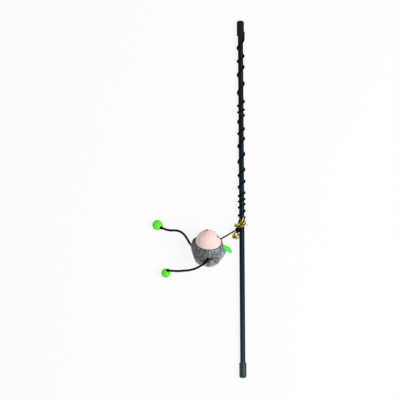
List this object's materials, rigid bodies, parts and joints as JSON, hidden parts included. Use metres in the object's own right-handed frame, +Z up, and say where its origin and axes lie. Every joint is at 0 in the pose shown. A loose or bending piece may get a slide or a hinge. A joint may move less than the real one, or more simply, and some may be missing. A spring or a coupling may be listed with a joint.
{
  "type": "cat teaser wand",
  "caption": "Straight capped rod with a wound elastic cord, tied on, that leads to a small jingle bell and a stuffed mouse toy with felt ears and pompom legs.",
  "frame": {"origin": "middle of the handle cap's end face, on the rod's axis", "axes": "+Y along the rod from the handle to the tip, +Z up from the table that the wand lies on, +X to the right of the rod as seen from above"},
  "size_m": [0.1081, 0.406, 0.04],
  "materials": {
    "rod": "satin",
    "cap": "satin",
    "cord": "matte",
    "tie": "gloss",
    "bell": "polished",
    "pellet": "satin",
    "grey_cloth": "matte",
    "pink_cloth": "matte",
    "stuffing": "matte",
    "thread": "matte",
    "nose": "matte",
    "eye": "gloss",
    "felt": "matte",
    "yarn": "matte"
  },
  "bodies": {
    "wand": {"rod": "rod", "tip_cap": "cap", "handle_cap": "cap", "cord_winding": "cord", "twist_tie": "tie", "cord_knot": "cord", "bell_hanger": "cord"},
    "bell": {"bell_shell": "bell", "bell_eye": "bell"},
    "pellet": {"bell_pellet": "pellet"},
    "lead": {"cord_lead": "cord"},
    "mouse": {"body_cover": "grey_cloth", "face_cover": "pink_cloth", "stuffing": "stuffing", "seam_thread": "thread", "nose": "nose", "eye_left": "eye", "eye_right": "eye", "lead_anchor": "cord", "leg_left_anchor": "cord", "leg_right_anchor": "cord"},
    "ear_left_body": {"ear_left": "felt"},
    "ear_right_body": {"ear_right": "felt"},
    "leg_left": {"leg_left_cord": "cord"},
    "leg_right": {"leg_right_cord": "cord"},
    "pompom_left_body": {"leg_left_knot": "cord", "pompom_left": "yarn"},
    "pompom_right_body": {"leg_right_knot": "cord", "pompom_right": "yarn"}
  },
  "joints": [
    {"name": "lead_swing", "type": "hinge", "parent": "wand", "child": "lead", "pos_m": [-0.00521, 0.16899, 0.00277], "axis": [0, 0, 1], "range_deg": [-60, 7]},
    {"name": "mouse_nod", "type": "hinge", "parent": "lead", "child": "mouse", "pos_m": [-0.02319, 0.15881, 0.02095], "axis": [-0.4519, 0.5475, -0.7043], "range_deg": [-35, 60]},
    {"name": "ear_left_flap", "type": "hinge", "parent": "mouse", "child": "ear_left_body", "pos_m": [-0.0215, 0.15063, 0.02539], "axis": [-0.294, -0.6113, 0.7348], "range_deg": [-15, 30], "stiffness_Nm_per_rad": 0.0005},
    {"name": "ear_right_flap", "type": "hinge", "parent": "mouse", "child": "ear_right_body", "pos_m": [-0.03281, 0.16433, 0.00776], "axis": [0.9441, -0.1764, 0.2785], "range_deg": [0, 45], "stiffness_Nm_per_rad": 0.0005},
    {"name": "leg_left_swing", "type": "hinge", "parent": "mouse", "child": "leg_left", "pos_m": [-0.03896, 0.13392, 0.03197], "axis": [-0.2373, 0.9714, 0], "range_deg": [0, 60]},
    {"name": "leg_right_swing", "type": "hinge", "parent": "mouse", "child": "leg_right", "pos_m": [-0.05353, 0.1484, 0.00053], "axis": [0, 0, 1], "range_deg": [-25, 30]},
    {"name": "pompom_left_flop", "type": "hinge", "parent": "leg_left", "child": "pompom_left_body", "pos_m": [-0.08411, 0.12289, 0.0051], "axis": [0, 0, 1], "range_deg": [-45, 5]},
    {"name": "pompom_right_flop", "type": "hinge", "parent": "leg_right", "child": "pompom_right_body", "pos_m": [-0.09141, 0.17139, 0.0052], "axis": [0, 0, 1], "range_deg": [-40, 45]},
    {"name": "bell_swing", "type": "hinge", "parent": "wand", "child": "bell", "pos_m": [-0.00659, 0.16364, -0.00258], "axis": [-0.9683, 0.2496, 0], "range_deg": [-30, 0]},
    {"name": "pellet_rattle", "type": "slide", "parent": "bell", "child": "pellet", "axis": [0, 0, 1], "range_m": [0, 0.0044]}
  ]
}
